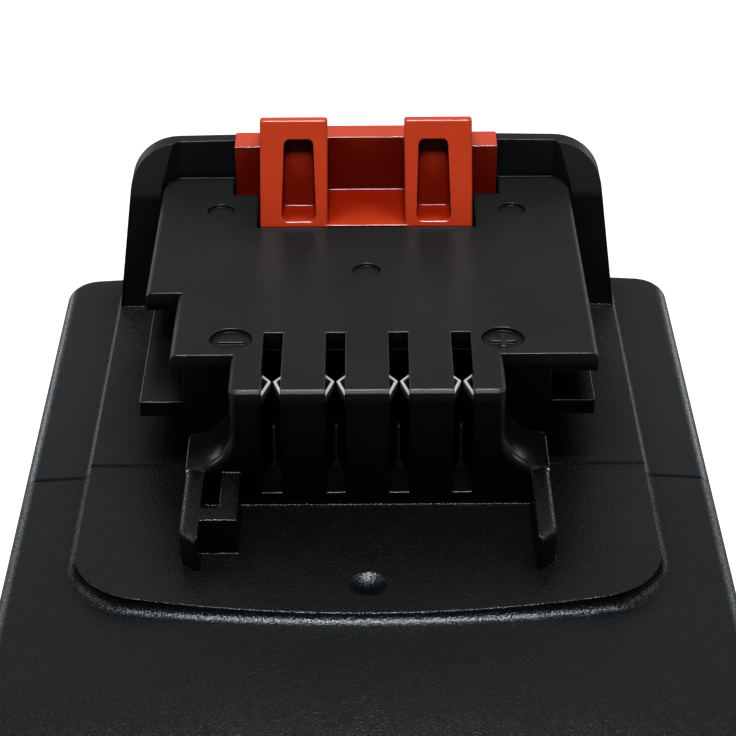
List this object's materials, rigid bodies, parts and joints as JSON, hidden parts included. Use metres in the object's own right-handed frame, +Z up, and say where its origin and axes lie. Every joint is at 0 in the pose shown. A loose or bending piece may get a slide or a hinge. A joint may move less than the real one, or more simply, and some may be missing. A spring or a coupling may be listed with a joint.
{
  "type": "power tool battery pack",
  "caption": "Slide-on rechargeable battery pack for a cordless tool, with a slotted terminal tower on rails, an arched rear wall and a sprung latch.",
  "frame": {"origin": "middle of the underside of the case", "axes": "+X to the right seen from the terminal end, +Y from the terminal end towards the latch, +Z up from the underside"},
  "size_m": [0.079, 0.114, 0.0539],
  "materials": {
    "housing_plastic": "black, fine moulded grain",
    "latch_plastic": "red-orange, satin gloss",
    "spring_steel": "bright drawn wire",
    "holder_plastic": "black, plain",
    "cell_can": "sleeved can",
    "nickel": "nickel, spot welded",
    "contact_metal": "bright plated strip",
    "insulating_paper": "plain",
    "board_laminate": "green laminate",
    "component_black": "moulded packages",
    "lead_sleeve": "sleeved flat lead",
    "foam": "closed-cell sheet",
    "screw_steel": "dark zinc",
    "label_paper": "blank, pale grey"
  },
  "bodies": {
    "pack_body": {"battery_lead": "lead_sleeve", "board_components": "component_black", "board_screws": "screw_steel", "cell_1": "cell_can", "cell_2": "cell_can", "cell_3": "cell_can", "cell_4": "cell_can", "cell_5": "cell_can", "cell_holder_left": "holder_plastic", "cell_holder_right": "holder_plastic", "circuit_board": "board_laminate", "contact_1": "contact_metal", "contact_2": "contact_metal", "contact_3": "contact_metal", "contact_4": "contact_metal", "contact_carrier": "holder_plastic", "foam_pad": "foam", "fuse": "component_black", "housing_screws": "screw_steel", "insulator_left": "insulating_paper", "insulator_right": "insulating_paper", "latch_spring_left": "spring_steel", "latch_spring_right": "spring_steel", "lower_housing": "housing_plastic", "nickel_strip_left_1": "nickel", "nickel_strip_left_2": "nickel", "nickel_strip_left_3": "nickel", "nickel_strip_right_1": "nickel", "nickel_strip_right_2": "nickel", "nickel_strip_right_3": "nickel", "rating_label": "label_paper", "thermistor": "component_black", "upper_housing": "housing_plastic"},
    "latch_body": {"latch": "latch_plastic"}
  },
  "joints": [
    {"name": "latch_press", "type": "slide", "parent": "pack_body", "child": "latch_body", "axis": [0, 0, -1], "range_m": [0, 0.0055], "stiffness_N_per_m": 1000, "springref_m": -0.004, "deforming": ["latch_spring_left", "latch_spring_right"]}
  ]
}
